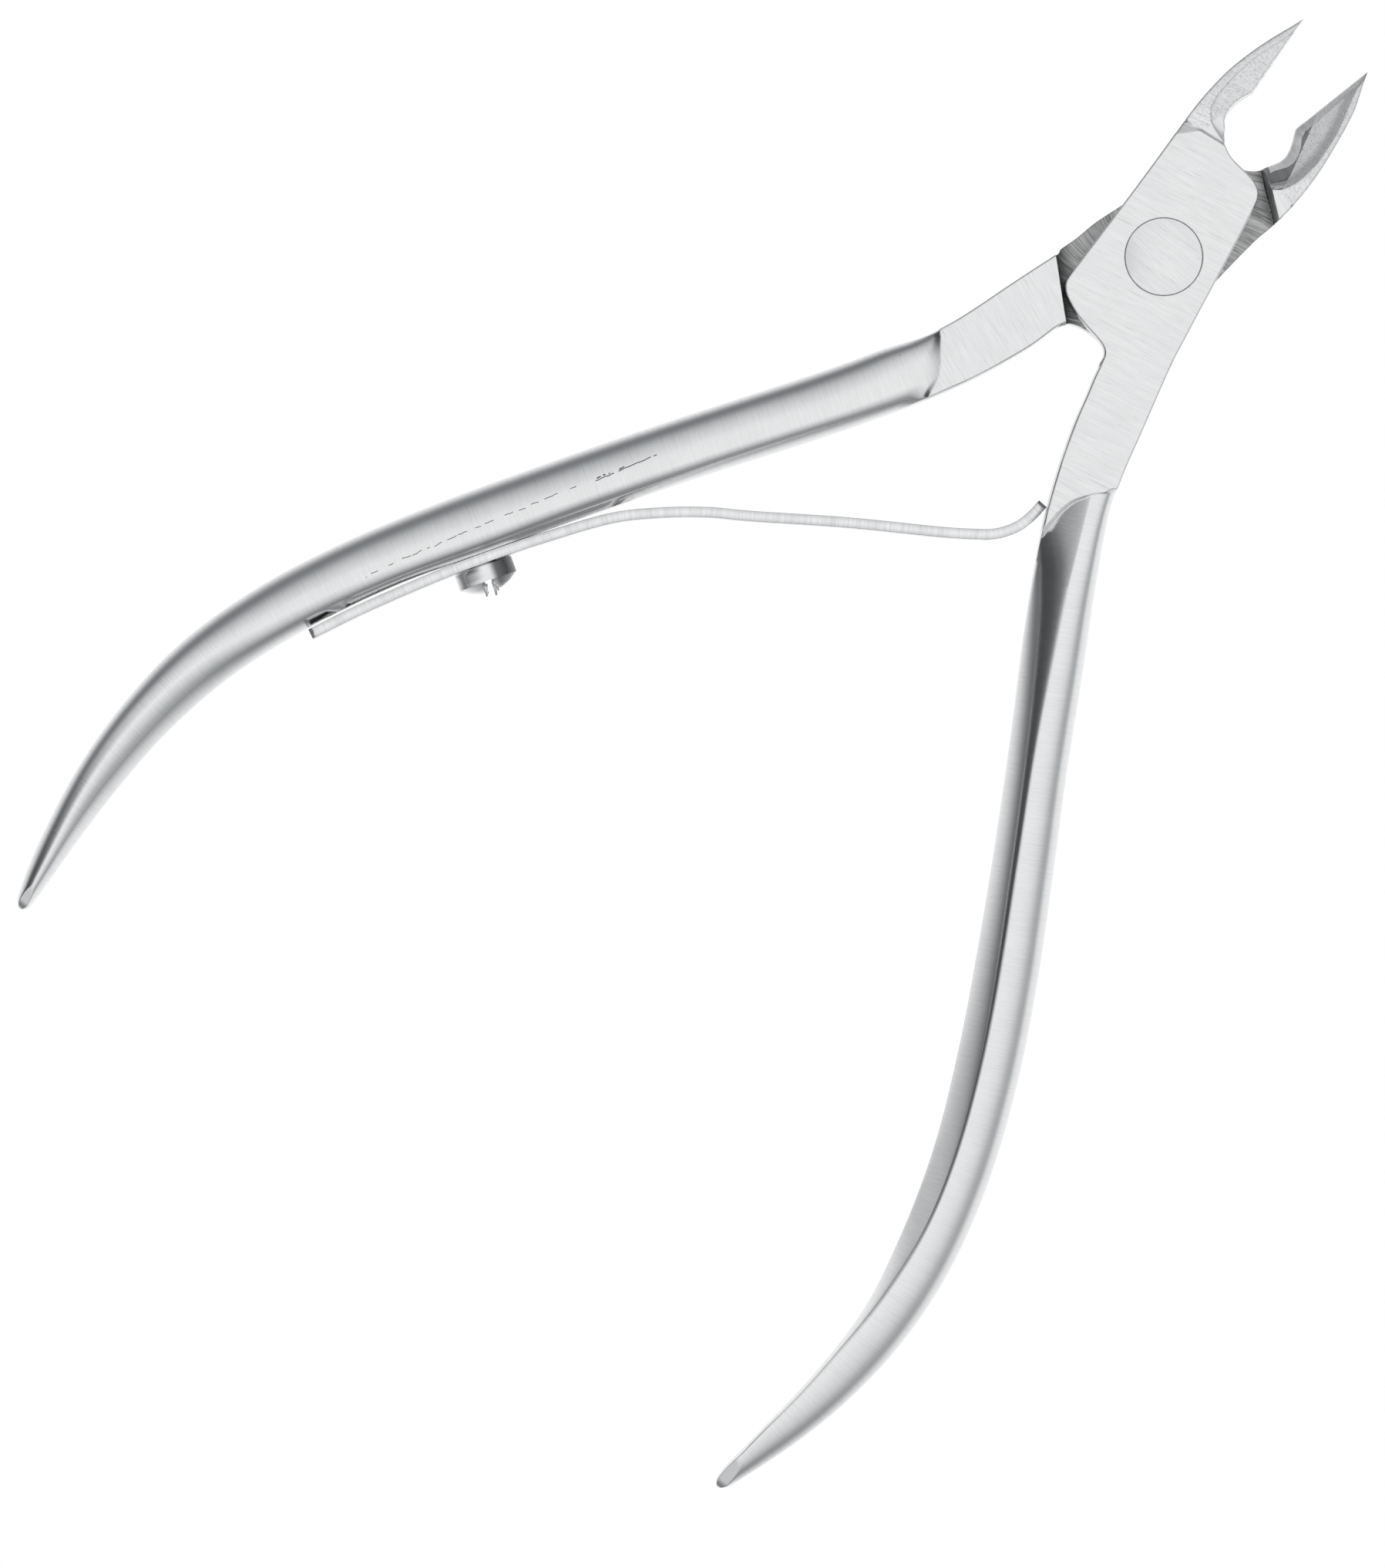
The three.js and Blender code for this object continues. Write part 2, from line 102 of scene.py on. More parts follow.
# Each half:
# arm_facing, jaw_facing: which way its lap's two shoulders face, in degrees;
# jaw_draft: how far the upper part of the jaw's shoulder leans back;
# jaw_bevels: slopes of the hollow and of the edge bevel;
# jaw_blunt: height of the throat's wall at its root, and the power that it falls with;
# jaw_step: drop of the hollow below its ridge, its run and its power;
# brush_turn: direction of the brushing on the flat faces;
# neck_run: shortest run-out from neck to handle, and how it grows with the drop;
# end_facet: half height of the handle's ground end;
# jaw_from: y where the grinding starts, its slope and the x that it passes through;
# outline: runs of points, smooth inside a run and sharp between runs;
# neck: the area of the flat neck, bounded by its crisp end;
# section: y, crown place (-1 inner edge, +1 outer edge), crown height above mid-height,
# how boxy the arm's outer and inner sides are (2 is an ellipse, less is a crease at the
# crown), and the share of the height that the inner side's upright wall takes;
# arm: y, inner x, outer x;
# jaw: y, inner x, ridge x, ridge half height, outer x, outer half height.
FRONT = {
    "body": "front", "node": "front_half", "lap_on_top": True, "arm_facing": 35.3, "jaw_facing": -37.4,
    "jaw_draft": 0.0, "jaw_bevels": (0.2, 14.0), "jaw_blunt": (2.4, 1.5),
    "jaw_step": (0.09, 0.12, 1), "brush_turn": 12,
    "neck_run": (0.12, 0.2), "end_facet": 0.7, "jaw_from": (7.72, 0.13, -3.9),
    "outline": [
        [(-2.7, 17.95), (-3.0, 17.0), (-3.33, 16.1), (-3.7, 15), (-3.98, 14), (-4.22, 13), (-4.4, 12),
         (-4.5, 11), (-4.56, 10), (-4.57, 9), (-4.54, 8), (-4.48, 6.9), (-4.3, 3.5), (-4.15, 0),
         (-4.02, -3.6), (-3.97, -4.8), (-3.87, -5.35), (-3.5, -5.78), (-3.0, -6.06), (-2.05, -6.42),
         (-1, -6.65), (0, -6.8), (0.62, -6.98), (1.0, -7.3), (1.22, -7.9), (1.5, -9), (1.8, -10),
         (2.36, -12), (3.06, -14), (3.86, -16), (4.76, -18), (5.78, -20), (6.3, -21)],
        [(6.3, -21), (11.13, -21)],
        [(11.13, -21), (10.54, -20), (9.4, -18), (8.28, -16), (7.38, -14), (6.72, -12), (6.18, -10),
         (5.62, -8), (4.8, -5), (4.45, -3.3), (4.03, -1.2), (3.8, 0), (3.6, 1), (3.2, 3), (2.9, 4.5),
         (2.5, 6.3), (2.3, 6.85), (1.95, 7.25), (1.4, 7.5), (0.7, 7.62), (0, 7.68), (-0.5, 7.74),
         (-1.1, 7.93), (-1.5, 8.2), (-1.85, 8.55), (-2.12, 9.0), (-2.4, 9.3), (-2.6, 9.7),
         (-2.63, 10.2), (-2.55, 10.9), (-2.38, 11.5), (-2.19, 11.95)],
        [(-2.19, 11.95), (-2.7, 17.95)],
    ],
    "neck": [
        [(12, -12.9), (8.0, -13.35), (7.0, -13.7), (6.7, -14.2), (6.2, -14.7), (5.8, -15.3), (5.4, -16),
         (5.2, -16.8), (5.12, -17.6), (5.1, -18.3), (5.1, -18.9), (4.9, -19.5), (4.4, -20)],
        [(4.4, -20), (2, -20), (-6, -12), (-6, 0), (12, 0), (12, -12.9)],
    ],
    "section": np.array([
        [-12, 0.3, 3.12, 5, 1.2, 0.74], [-14, 0.28, 3.08, 4.2, 1.2, 0.74],
        [-16, 0.26, 3.03, 3.5, 1.15, 0.72], [-18.8, 0.2, 2.99, 3.0, 1.15, 0.66],
        [-21, 0.13, 2.98, 2.85, 1.3, 0.42],
        [-25, 0.02, 2.97, 2.75, 1.45, 0.16], [-30, -0.14, 2.95, 2.7, 1.45, 0.06],
        [-37, -0.22, 2.9, 2.6, 1.38, 0.0], [-45, -0.23, 2.82, 2.5, 1.22, 0.0],
        [-52, -0.27, 2.73, 2.45, 1.1, 0.0], [-60, -0.42, 2.58, 2.35, 1.05, 0.0],
        [-64, -0.66, 2.46, 2.3, 1.3, 0.0], [-68, -0.86, 2.32, 2.2, 1.8, 0.0],
        [-72, -0.9, 2.15, 2.2, 2.0, 0.0], [-77, -0.9, 1.8, 2.1, 2.0, 0.0],
        [-79, -0.6, 1.5, 2.1, 2.1, 0.0], [-80.4, 0.0, 1.1, 2.1, 2.1, 0.0],
    ]),
    "arm": np.array([
        [-8, 1.22, 5.62], [-10, 1.8, 6.18], [-12, 2.36, 6.72], [-13.2, 2.75, 7.06], [-14.5, 3.24, 7.54],
        [-16, 3.86, 8.28], [-18, 4.76, 9.4], [-20, 5.78, 10.54], [-24, 8.08, 12.92], [-30, 11.8, 16.42],
        [-36, 15.42, 20.1], [-42, 18.88, 23.68], [-48, 22.14, 26.82], [-54, 24.96, 29.3],
        [-60, 26.98, 30.9], [-65, 28.1, 31.4], [-70, 28.3, 31.12], [-74, 28.08, 30.36],
        [-77, 27.8, 29.5], [-79, 27.6, 28.84], [-80.1, 27.66, 28.45],
    ]),
    "jaw": np.array([
        [7.6, -0.6, -1.0, 3.07, -4.5, 3.03], [8.3, -1.6, -1.85, 3.06, -4.55, 3.0],
        [8.45, -1.75, -2.4, 3.05, -4.56, 2.98], [8.65, -1.9, -3.0, 3.05, -4.56, 2.96],
        [9.0, -2.12, -3.45, 3.03, -4.57, 2.92], [9.4, -2.45, -3.75, 3.0, -4.57, 2.87],
        [10, -2.63, -3.92, 2.85, -4.56, 2.78], [11, -2.53, -3.97, 2.6, -4.5, 2.53],
        [12, -2.2, -3.92, 2.33, -4.4, 2.27], [13, -2.275, -3.8, 2.05, -4.22, 1.99],
        [14, -2.36, -3.6, 1.75, -3.98, 1.7], [15, -2.45, -3.3, 1.43, -3.7, 1.38],
        [16, -2.54, -2.97, 1.1, -3.36, 1.05], [17, -2.62, -2.77, 0.77, -3.0, 0.74],
        [17.95, -2.7, -2.72, 0.45, -2.78, 0.44],
    ]),
}
BACK = {
    "body": "back", "node": "back_half", "lap_on_top": False, "arm_facing": -42.1, "jaw_facing": 37.4,
    "jaw_draft": 0.22, "jaw_bevels": (0.42, 1.95), "jaw_blunt": (1.6, 1.0),
    "jaw_step": (0.3, 0.8, 2), "brush_turn": -21,
    "neck_run": (1.25, 0.8), "end_facet": 0.95, "jaw_from": (7.55, -0.2, 2.5),
    "outline": [
        [(2.68, 17.95), (2.98, 17.0), (3.3, 16.2), (3.62, 15.3), (3.9, 14), (4.07, 13), (4.22, 12),
         (4.35, 11), (4.42, 10), (4.45, 9), (4.43, 8), (4.36, 7), (4.2, 5.9), (3.95, 4.5), (3.65, 1.0),
         (3.45, -3), (3.37, -5.2), (3.2, -5.75), (2.79, -6.13), (2.26, -6.36), (1.27, -6.6),
         (0.21, -6.7), (-0.81, -6.74), (-1.5, -6.88), (-2.1, -7.2), (-2.5, -7.9), (-2.78, -9),
         (-3.06, -10), (-3.8, -12), (-4.66, -14), (-5.66, -16), (-6.72, -18), (-7.9, -20), (-8.5, -21)],
        [(-8.5, -21), (-13.32, -21)],
        [(-13.32, -21), (-12.7, -20), (-11.48, -18), (-10.3, -16), (-8.9, -14), (-7.96, -12),
         (-7.28, -10), (-6.68, -8), (-6.05, -6), (-5.5, -4.3), (-5.42, -3.95)],
        [(-5.42, -3.95), (-5.5, -3.75), (-5.15, -2.5), (-4.85, -1), (-4.35, 0.6), (-3.75, 2.4),
         (-3.0, 4.6), (-2.5, 6.3), (-2.3, 6.85), (-1.95, 7.25), (-1.4, 7.48), (-0.7, 7.6), (0.1, 7.68),
         (0.6, 7.86), (1.0, 8.12), (1.3, 8.42), (1.56, 8.9), (1.8, 9.35), (2.0, 9.8), (2.03, 10.3),
         (1.87, 10.95), (1.62, 11.5), (1.4, 12.0)],
        [(1.4, 12.0), (2.68, 17.95)],
    ],
    "neck": [
        [(-12, -11.9), (-9.0, -12.45), (-8.1, -13.0), (-7.8, -13.3), (-7.3, -13.9), (-6.8, -14.5),
         (-6.4, -15.2), (-6.25, -15.8), (-6.15, -16.4), (-5.95, -16.9), (-5.5, -17.2)],
        [(-5.5, -17.2), (-3, -17.2), (6, -12), (6, 0), (-12, 0), (-12, -11.9)],
    ],
    "section": np.array([
        [-12, -0.36, 2.98, 5, 2.4, 0.4], [-14, -0.36, 2.98, 4, 2.4, 0.4],
        [-16, -0.37, 2.98, 3.2, 2.3, 0.35], [-18, -0.38, 2.97, 2.85, 2.3, 0.24],
        [-20, -0.38, 2.96, 2.7, 2.3, 0.12],
        [-25, -0.38, 2.95, 2.65, 2.2, 0.0], [-30, -0.38, 2.94, 2.5, 2.3, 0.0],
        [-37, -0.38, 2.9, 2.35, 2.3, 0.0], [-42, -0.34, 2.85, 2.3, 2.7, 0.0],
        [-48, -0.28, 2.78, 2.2, 2.8, 0.0], [-52, -0.2, 2.73, 2.1, 2.5, 0.0],
        [-56, -0.1, 2.67, 2.1, 2.2, 0.0], [-60, 0.05, 2.58, 2.15, 1.8, 0.0],
        [-66, 0.15, 2.4, 2.3, 1.7, 0.0], [-72, 0.1, 2.15, 2.3, 1.7, 0.0],
        [-77, -0.08, 1.8, 2.1, 2.0, 0.0], [-79, -0.1, 1.5, 2.1, 2.1, 0.0],
        [-80.4, 0.0, 1.1, 2.1, 2.1, 0.0],
    ]),
    "arm": np.array([
        [-8, -2.5, -6.68], [-10, -3.06, -7.28], [-12, -3.8, -7.96], [-13.2, -4.3, -8.44],
        [-14.5, -4.9, -9.3], [-16, -5.66, -10.3], [-18, -6.72, -11.48], [-20, -7.9, -12.7],
        [-24, -10.4, -15.26], [-30, -14.3, -19.1], [-36, -18.02, -22.8], [-42, -21.65, -26.36],
        [-48, -25.2, -29.58], [-54, -27.95, -32.12], [-60, -29.9, -33.68], [-65, -30.68, -34.02],
        [-70, -30.84, -33.7], [-74, -30.7, -32.94], [-77, -30.5, -32.16], [-79, -30.4, -31.46],
        [-79.65, -30.42, -31.2],
    ]),
    "jaw": np.array([
        [7.5, 0.0, 2.4, 3.4, 4.4, 3.2], [8.0, 0.8, 3.0, 3.3, 4.43, 3.12],
        [8.4, 1.28, 3.3, 3.2, 4.44, 3.02], [9.0, 1.62, 3.6, 3.08, 4.45, 2.96],
        [9.7, 1.95, 3.8, 2.94, 4.44, 2.86], [10.3, 2.02, 3.86, 2.78, 4.41, 2.7],
        [11, 1.86, 3.93, 2.6, 4.35, 2.52], [12, 1.4, 3.87, 2.33, 4.22, 2.25],
        [13, 1.62, 3.76, 2.05, 4.07, 1.98], [14, 1.83, 3.56, 1.75, 3.9, 1.69],
        [15, 2.05, 3.27, 1.43, 3.7, 1.38], [16, 2.26, 3.0, 1.1, 3.36, 1.05],
        [17, 2.48, 2.81, 0.77, 2.98, 0.74], [17.95, 2.68, 2.7, 0.45, 2.76, 0.44],
    ]),
}


# ---- smooth curves ---------------------------------------------------------------------
def smooth_run(points, step):
    """Points along a Catmull-Rom curve through the given ones, about step apart."""
    given = np.array(points, float)
    if len(given) == 2:
        return given[:1]
    padded = np.vstack([2 * given[0] - given[1], given, 2 * given[-1] - given[-2]])
    out = []
    for a, b, c, d in zip(padded, padded[1:], padded[2:], padded[3:]):
        count = max(1, int(np.linalg.norm(c - b) / step))
        t = (np.arange(count) / count)[:, None]
        out.append(0.5 * (2 * b + (c - a) * t + (2 * a - 5 * b + 4 * c - d) * t**2
                          + (3 * b - a - 3 * c + d) * t**3))
    return np.vstack(out)


def table_at(table, y):
    """Each column of a table whose first column is y, smoothly interpolated at y."""
    rows = table[np.argsort(table[:, 0])]
    given, values = rows[:, 0], rows[:, 1:]
    slopes = np.gradient(values, given, axis=0)
    y = np.clip(np.asarray(y, float), given[0], given[-1])
    i = np.clip(np.searchsorted(given, y) - 1, 0, len(given) - 2)
    span = (given[i + 1] - given[i])[..., None]
    t = ((y - given[i]) / span[..., 0])[..., None]
    return ((2 * t**3 - 3 * t**2 + 1) * values[i] + (t**3 - 2 * t**2 + t) * span * slopes[i]
            + (3 * t**2 - 2 * t**3) * values[i + 1] + (t**3 - t**2) * span * slopes[i + 1])


# ---- solids as distance fields, negative inside ----------------------------------------
def both(a, b, ease):
    """Where two solids overlap, with the edge between them eased."""
    h = np.clip(0.5 + 0.5 * (a - b) / ease, 0, 1)
    return a * h + b * (1 - h) + ease * h * (1 - h)


def outline_distance(points, x, y):
    """Distance to a closed outline, negative inside."""
    nearest = np.full(np.broadcast(x, y).shape, 1e9, np.float32)
    inside = np.zeros(nearest.shape, bool)
    for (x0, y0), (x1, y1) in zip(points, np.roll(points, -1, axis=0)):
        dx, dy = x1 - x0, y1 - y0
        t = np.clip(((x - x0) * dx + (y - y0) * dy) / (dx * dx + dy * dy), 0, 1)
        nearest = np.minimum(nearest, (x - x0 - t * dx)**2 + (y - y0 - t * dy)**2)
        if dy:
            inside ^= ((y0 <= y) != (y1 <= y)) & (x < x0 + (y - y0) * dx / dy)
    return np.where(inside, -1, 1) * np.sqrt(nearest)


def arm_height(half, x, y):
    """Half height of the arm's own section: a crowned outer side, a steeper inner side."""
    inner, outer = np.moveaxis(table_at(half["arm"], y), -1, 0)
    crown, height, outer_power, inner_power, wall = np.moveaxis(table_at(half["section"], y), -1, 0)
    across = (2 * x - inner - outer) / (outer - inner) - crown
    outside = across > 0
    power = np.where(outside, outer_power, inner_power)
    u = np.abs(across) / np.where(outside, 1 - crown, 1 + crown)
    dome = np.maximum(1 - np.minimum(u, 1)**power, 0)**(1 / power)
    wall = np.where(outside, 0, wall)
    return height * np.where(u < 1, wall + (1 - wall) * dome, -0.3)


def jaw_height(half, x, y):
    """Half height of the ground jaw over the plan: its outer grind, and its hollow with
    the edge bevel or the throat's wall below."""
    inner, ridge, ridge_up, outer, outer_up = np.moveaxis(table_at(half["jaw"], y), -1, 0)
    grind = ridge_up + (outer_up - ridge_up) * (x - ridge) / (outer - ridge)
    root, fall = half["jaw_blunt"]
    blunt = root * np.clip((BLUNT_TO - y) / BLUNT_RUN, 0, 1)**fall + EDGE_LEFT
    main, edge = half["jaw_bevels"]
    main = np.minimum(main, (ridge_up - blunt) / np.maximum(np.abs(ridge - inner), 0.01))
    below = (ridge - x) * np.sign(ridge - inner)
    drop, run, power = half["jaw_step"]
    hollow = ridge_up - main * below - drop * (1 - (1 - np.clip(below / run, 0, 1))**power)
    bevel = np.minimum(blunt + edge * np.abs(x - inner), np.maximum(hollow, EDGE_LEFT))
    return grind, bevel


def neck_plan(half):
    """Closed outline of the flat neck."""
    return np.vstack([smooth_run(half["neck"][0], 0.1), half["neck"][1][:-1]])


def past_shoulders(half, x, y):
    """How far a point is past the arm's shoulder and past the jaw's."""
    arm, jaw = math.radians(half["arm_facing"]), math.radians(half["jaw_facing"])
    return (x * math.sin(arm) - y * math.cos(arm) - ARM_SHOULDER,
            x * math.sin(jaw) + y * math.cos(jaw) - JAW_SHOULDER)


def half_field(half, x, y, z):
    """Distance field of one whole half as far as the handle; x, y, z broadcast."""
    plan = np.vstack([smooth_run(run, 0.12) for run in half["outline"]])
    wall = outline_distance(plan, x[:, :, 0], y[:, :, 0])[:, :, None]
    up = np.abs(z - MID)
    grind, bevel = jaw_height(half, x, np.maximum(y, JAW_FROM))
    flat_top = up - MID
    past_corner = 0 * x
    if half is FRONT:
        past_corner = (y - CORNER_AT[1]) * CORNER_WAY[1] + (x - CORNER_AT[0]) * CORNER_WAY[0]
    slab = both(wall, flat_top + CORNER_FALL * np.maximum(past_corner, 0), EDGE)
    ground = both(wall, (up - grind) / GRIND_SCALE, EDGE)
    jaw = both(ground, (up - bevel) / BEVEL_SCALE, RIDGE)
    jaw = both(jaw, flat_top, CREASE)
    start, lean, at_x = half["jaw_from"]
    into_jaw = np.clip((y - start - lean * (x - at_x)) / JAW_STEP, 0, 1)
    solid = slab + (jaw - slab) * into_jaw
    rows = y[0, :, 0] < NECK_TO
    flat_x, flat_y = x[:, :, 0], y[:, rows, 0]
    past_neck = outline_distance(neck_plan(half), flat_x, flat_y)
    neck_height = MID + NECK_FALL * (flat_y - NECK_TO)
    drop = neck_height - arm_height(half, flat_x, flat_y)
    shortest, growth = half["neck_run"]
    run = shortest + growth * np.clip(drop, 0, 2)
    reached = 1 - (1 - np.clip(past_neck / run, 0, 1))**2
    height = neck_height - drop * reached
    slope = np.hypot(*np.gradient(height, x[1, 0, 0] - x[0, 0, 0], y[0, 1, 0] - y[0, 0, 0]))
    top = (up - height[:, :, None]) / np.hypot(1, np.minimum(slope, 5))[:, :, None]
    ease = EDGE - (EDGE - 0.02) * reached[:, :, None]
    solid[:, rows] = both(wall[:, rows], top, ease)
    return both(solid, -lap_space(half, x, y, z), CREASE)


def lap_space(half, x, y, z):
    """The space that the other half's lap turns in."""
    arm_line, jaw_line = past_shoulders(half, x, y)
    jaw_line = jaw_line - half["jaw_draft"] * np.clip((z - MID) / MID, 0, 1)
    level = (z - MID - LAP_GAP) if half["lap_on_top"] else (MID - LAP_GAP - z)
    return np.maximum(np.maximum(arm_line, jaw_line), level)


def rivet_radius(z, extra):
    """Radius of the countersunk rivet at a height, with some room added."""
    near_face = np.minimum(z, THICK - z)
    sunk = np.clip((SINK_FROM - near_face) / SINK_RUN, 0, 1)
    return RIVET_WAIST + (RIVET_RADIUS - RIVET_WAIST) * sunk + extra


def surface_of(field, xs, ys, zs):
    """Surface of a distance field on a grid: one vertex in each cell that it crosses."""
    inside = field < 0
    corners = [(i, j, k) for i in (0, 1) for j in (0, 1) for k in (0, 1)]
    shape = tuple(n - 1 for n in field.shape)

    def at(array, corner):
        return array[tuple(slice(c, c + n) for c, n in zip(corner, shape))]

    filled = sum(at(inside, c).astype(np.int8) for c in corners)
    cell = np.argwhere((filled > 0) & (filled < 8))
    number = np.full(shape, -1, np.int32)
    number[tuple(cell.T)] = np.arange(len(cell))
    axes = (xs, ys, zs)
    value = {c: field[tuple((cell + c).T)] for c in corners}
    place = {c: np.stack([axes[a][cell[:, a] + c[a]] for a in range(3)], 1) for c in corners}
    total, count = np.zeros((len(cell), 3)), np.zeros(len(cell))
    for c in corners:
        for axis in range(3):
            if c[axis]:
                continue
            d = tuple(c[a] + (a == axis) for a in range(3))
            crossed = (value[c] < 0) != (value[d] < 0)
            t = np.where(crossed, value[c] / np.where(crossed, value[c] - value[d], 1), 0)
            total += np.where(crossed[:, None], place[c] + t[:, None] * (place[d] - place[c]), 0)
            count += crossed
    faces = []
    for axis in range(3):
        first = [slice(1, -1)] * 3
        second = [slice(1, -1)] * 3
        first[axis], second[axis] = slice(0, -1), slice(1, None)
        here, there = inside[tuple(first)], inside[tuple(second)]
        edge = np.argwhere(here != there)
        leaving = here[tuple(edge.T)]
        b, c = (axis + 1) % 3, (axis + 2) % 3
        ring = []
        for db, dc in ((0, 0), (1, 0), (1, 1), (0, 1)):
            index = edge.copy()
            index[:, b] += db
            index[:, c] += dc
            ring.append(number[tuple(index.T)])
        quad = np.stack(ring, 1)
        quad[~leaving] = quad[~leaving][:, ::-1]
        faces.append(quad)
    return total / count[:, None], np.vstack(faces)


# ---- meshes ----------------------------------------------------------------------------
def new_object(name, points, faces, materials):
    """A mesh object from points in millimetres."""
    mesh = bpy.data.meshes.new(name)
    mesh.from_pydata((np.asarray(points) * MM).tolist(), [], [list(map(int, f)) for f in faces])
    obj = bpy.data.objects.new(name, mesh)
    bpy.context.scene.collection.objects.link(obj)
    for material in materials:
        mesh.materials.append(material)
    return obj


def apply_modifiers(obj):
    """Replaces the mesh by what its modifiers make of it."""
    evaluated = obj.evaluated_get(bpy.context.evaluated_depsgraph_get())
    mesh = bpy.data.meshes.new_from_object(evaluated)
    obj.modifiers.clear()
    obj.data = mesh


def shade_by_area(obj):
    """Smooth shading that keeps the large ground faces flat up to their eased edges."""
    obj.data.polygons.foreach_set("use_smooth", [True] * len(obj.data.polygons))
    normals = obj.modifiers.new("even_normals", "WEIGHTED_NORMAL")
    normals.mode = "FACE_AREA"
    normals.weight = 60


def tube_faces(rings, sides):
    """Quads between neighbouring rings of points."""
    faces = []
    for start in range(0, (rings - 1) * sides, sides):
        for i in range(sides):
            j = (i + 1) % sides
            faces.append([start + i, start + j, start + sides + j, start + sides + i])
    return faces


def seat_flat(half, y):
    """Half height of the flat that the leaf spring lies on, at one y of the handle."""
    if half is FRONT:
        return 0.0
    growing = min(1.0, max(0.0, (SEAT_FROM - y) / SEAT_IN))
    ending = min(1.0, max(0.0, (y - SEAT_TO) / SEAT_OUT))
    return SEAT_FLAT * growing * ending


def arm_ring(half, y, end_y):
    """Points round the handle at one y; the last stretch closes to a small ground end."""
    inner, outer = table_at(half["arm"], y)
    crown, height, outer_power, inner_power, wall = table_at(half["section"], y)
    angle = np.linspace(0, 2 * math.pi, RING_SIDES, endpoint=False)
    c, s = np.cos(angle), np.sin(angle)
    power = np.where(c > 0, outer_power, inner_power)
    reach = 1 / (np.abs(c)**power + np.abs(s)**power)**(1 / power)
    across = crown + c * reach * np.where(c > 0, 1 - crown, 1 + crown)
    closing = math.sqrt(max(0.0, 1 - max(0.0, 1 - (y - end_y) / END_RUN)**2))
    facet = half["end_facet"] + 0.45 * (y - end_y)
    level = s * reach
    level = np.where((c < 0) & (np.abs(s) > 1e-6), np.sign(s) * wall + (1 - wall) * level, level)
    z = MID + np.clip(level * height, -facet - 0.3, facet) * (0.4 + 0.6 * closing)
    across = np.where((c < 0) & (np.abs(z - MID) < seat_flat(half, y)), -1, across)
    x = (inner + outer) / 2 + across * closing * (outer - inner) / 2
    return np.stack([x, np.full(RING_SIDES, y), z], 1)


def handle_mesh(half):
    """Rings down the handle to its end, as points and quads, open at the neck."""
    end_y = half["arm"][-1, 0]
    stations = np.concatenate([
        np.arange(HANDLE_FROM - 0.25, end_y + 2.4, -0.5), np.arange(end_y + 2.3, end_y + 0.6, -0.14),
        end_y + END_RUN * (1 - np.sin(np.linspace(0, math.pi / 2, 8)[:-1])),
    ])
    rings = [arm_ring(half, y, end_y) for y in stations]
    points = np.vstack([*rings, rings[-1].mean(0)[None]])
    faces = tube_faces(len(rings), RING_SIDES)
    last = (len(rings) - 1) * RING_SIDES
    faces += [[last + i, last + (i + 1) % RING_SIDES, len(points) - 1] for i in range(RING_SIDES)]
    return points, faces


def ground_mesh(half):
    """Joint, neck and jaw from the distance field, with their flat faces thinned out."""
    plan = np.array([p for run in half["outline"] for p in run])
    shown = plan[plan[:, 1] > HANDLE_FROM - 1]
    cell = CELL * 1
    xs = np.arange(shown[:, 0].min() - 0.83, shown[:, 0].max() + 0.8, cell, np.float32)
    ys = np.arange(HANDLE_FROM - 0.4, plan[:, 1].max() + 0.3, cell, np.float32)
    zs = np.linspace(-0.24, THICK + 0.24, int((THICK + 0.48) / CELL_UP) + 1, dtype=np.float32)
    x, y, z = xs[:, None, None], ys[None, :, None], zs[None, None, :]
    field = half_field(half, x, y, z)
    hole = rivet_radius(z, HOLE_GAP) - np.sqrt(x**2 + y**2)
    field = both(field, hole, CREASE)
    points, faces = surface_of(field, xs, ys, zs)
    obj = new_object("thinning", points, faces, [])
    group = obj.vertex_groups.new(name="thinned")
    group.add(np.flatnonzero(points[:, 1] < THIN_BELOW).tolist(), 1.0, "REPLACE")
    thin = obj.modifiers.new("thin", "DECIMATE")
    thin.ratio = THIN_TO
    thin.vertex_group = group.name
    apply_modifiers(obj)
    return obj


def make_half(half, materials):
    """One half as a closed mesh: the ground part joined to its handle at HANDLE_FROM."""
    obj = ground_mesh(half)
    obj.name = half["node"] + "_ground"
    bm = bmesh.new()
    bm.from_mesh(obj.data)
    everything = bm.verts[:] + bm.edges[:] + bm.faces[:]
    bmesh.ops.bisect_plane(bm, geom=everything, plane_co=(0, HANDLE_FROM * MM, 0), plane_no=(0, -1, 0),
                           clear_outer=True, dist=1e-7)
    points, faces = handle_mesh(half)
    verts = [bm.verts.new(p) for p in points * MM]
    for face in faces:
        bm.faces.new([verts[i] for i in face])
    rim = [e for e in bm.edges if e.is_boundary]
    bmesh.ops.bridge_loops(bm, edges=rim)
    crowded = [e for e in bm.edges if len(e.link_faces) > 2]
    bmesh.ops.collapse(bm, edges=crowded)
    bmesh.ops.recalc_face_normals(bm, faces=bm.faces)
    for material in materials:
        obj.data.materials.append(material)
    bm.to_mesh(obj.data)
    bm.free()
    return obj


